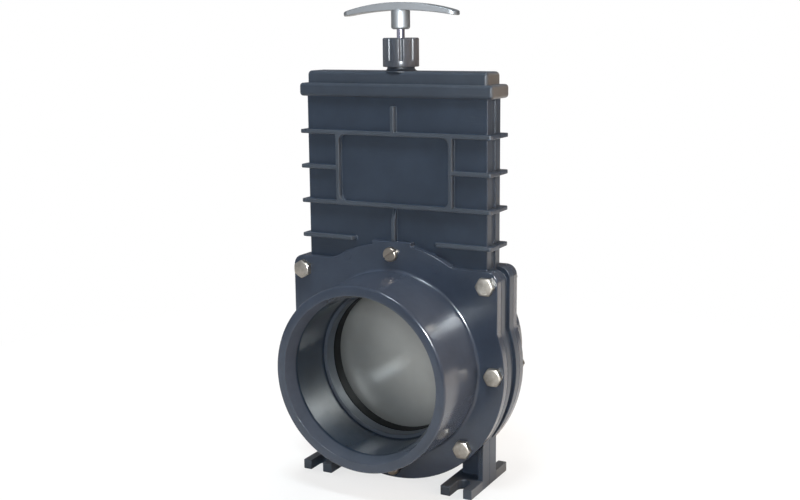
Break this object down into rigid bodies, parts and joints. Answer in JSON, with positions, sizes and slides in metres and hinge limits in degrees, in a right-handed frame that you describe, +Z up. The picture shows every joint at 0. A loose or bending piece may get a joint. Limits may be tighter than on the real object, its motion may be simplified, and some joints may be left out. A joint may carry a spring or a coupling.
{
  "type": "slide valve",
  "caption": "Plastic slide valve with a socket for a pipe on each side, a steel gate lifted by a T-handle into a flat ribbed bonnet, and two slotted feet.",
  "frame": {"origin": "on the floor, midway between the feet and below the pipe's axis", "axes": "+Z up along the gate's travel, +Y along the pipe from the front socket to the rear one, +X to the right seen from the front"},
  "size_m": [0.2494, 0.194, 0.4895],
  "materials": {
    "grey_pvc": "satin",
    "gland_pvc": "satin",
    "black_rubber": "matte",
    "gate_steel": "satin",
    "rod_steel": "polished",
    "fastener_steel": "satin",
    "handle_aluminium": "satin"
  },
  "bodies": {
    "valve_body": {"front_socket": "grey_pvc", "rear_socket": "grey_pvc", "front_body": "grey_pvc", "rear_body": "grey_pvc", "top_cap": "grey_pvc", "gland_nut": "gland_pvc", "gland_packing": "black_rubber", "front_seal": "black_rubber", "rear_seal": "black_rubber", "left_bolt": "fastener_steel", "right_bolt": "fastener_steel", "lower_left_bolt": "fastener_steel", "lower_right_bolt": "fastener_steel", "left_ear_bolt": "fastener_steel", "right_ear_bolt": "fastener_steel", "left_nut": "fastener_steel", "right_nut": "fastener_steel", "lower_left_nut": "fastener_steel", "lower_right_nut": "fastener_steel", "left_ear_nut": "fastener_steel", "right_ear_nut": "fastener_steel", "top_front_screw": "fastener_steel", "top_rear_screw": "fastener_steel", "bottom_front_screw": "fastener_steel", "bottom_rear_screw": "fastener_steel"},
    "gate": {"gate_blade": "gate_steel", "gate_rod": "rod_steel", "rod_pin": "rod_steel", "t_handle": "handle_aluminium"}
  },
  "joints": [
    {"name": "gate_slide", "type": "slide", "parent": "valve_body", "child": "gate", "axis": [0, 0, 1], "range_m": [0, 0.165]}
  ]
}
